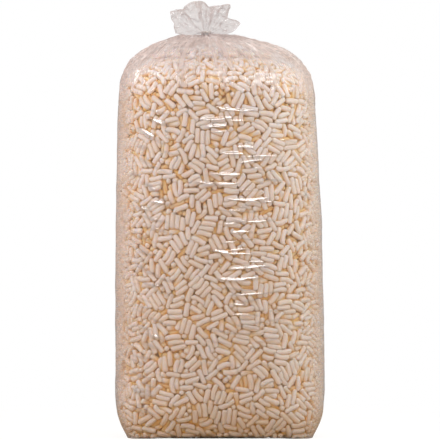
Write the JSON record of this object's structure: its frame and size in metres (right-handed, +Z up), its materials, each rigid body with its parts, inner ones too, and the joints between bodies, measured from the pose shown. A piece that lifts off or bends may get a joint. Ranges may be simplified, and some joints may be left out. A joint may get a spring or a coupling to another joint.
{
  "type": "packing peanut bag",
  "caption": "Tall clear film bag full of starch packing peanuts, gathered and tied at the neck under a flared mouth.",
  "frame": {"origin": "on the floor, at the middle of the bag's outer box", "axes": "+Z up towards the tied neck, +X across the wide front, front facing -Y"},
  "size_m": [0.6006, 0.56, 1.2526],
  "materials": {
    "clear_film": "clear blown polyethylene film, glossy, with a faint milky haze where it is slack",
    "starch_foam": "matt warm cream puffed starch with fine open pores",
    "tie_plastic": "satin off-white plastic ribbon over a thin steel wire"
  },
  "bodies": {
    "root": {"film_bag": "clear_film", "peanut_heap": "starch_foam", "peanut_01": "starch_foam", "peanut_02": "starch_foam", "peanut_03": "starch_foam", "peanut_04": "starch_foam", "peanut_05": "starch_foam", "peanut_06": "starch_foam", "peanut_07": "starch_foam", "peanut_08": "starch_foam", "peanut_09": "starch_foam", "peanut_10": "starch_foam", "peanut_11": "starch_foam", "peanut_12": "starch_foam", "peanut_13": "starch_foam", "peanut_14": "starch_foam", "peanut_15": "starch_foam", "peanut_16": "starch_foam", "peanut_17": "starch_foam", "peanut_18": "starch_foam", "peanut_19": "starch_foam", "peanut_20": "starch_foam", "peanut_21": "starch_foam", "peanut_22": "starch_foam", "peanut_23": "starch_foam", "peanut_24": "starch_foam", "peanut_25": "starch_foam", "peanut_26": "starch_foam", "peanut_27": "starch_foam", "peanut_28": "starch_foam", "peanut_29": "starch_foam", "peanut_30": "starch_foam", "peanut_31": "starch_foam", "peanut_32": "starch_foam", "peanut_33": "starch_foam", "peanut_34": "starch_foam", "peanut_35": "starch_foam", "peanut_36": "starch_foam", "peanut_37": "starch_foam", "twist_tie": "tie_plastic"}
  },
  "joints": []
}
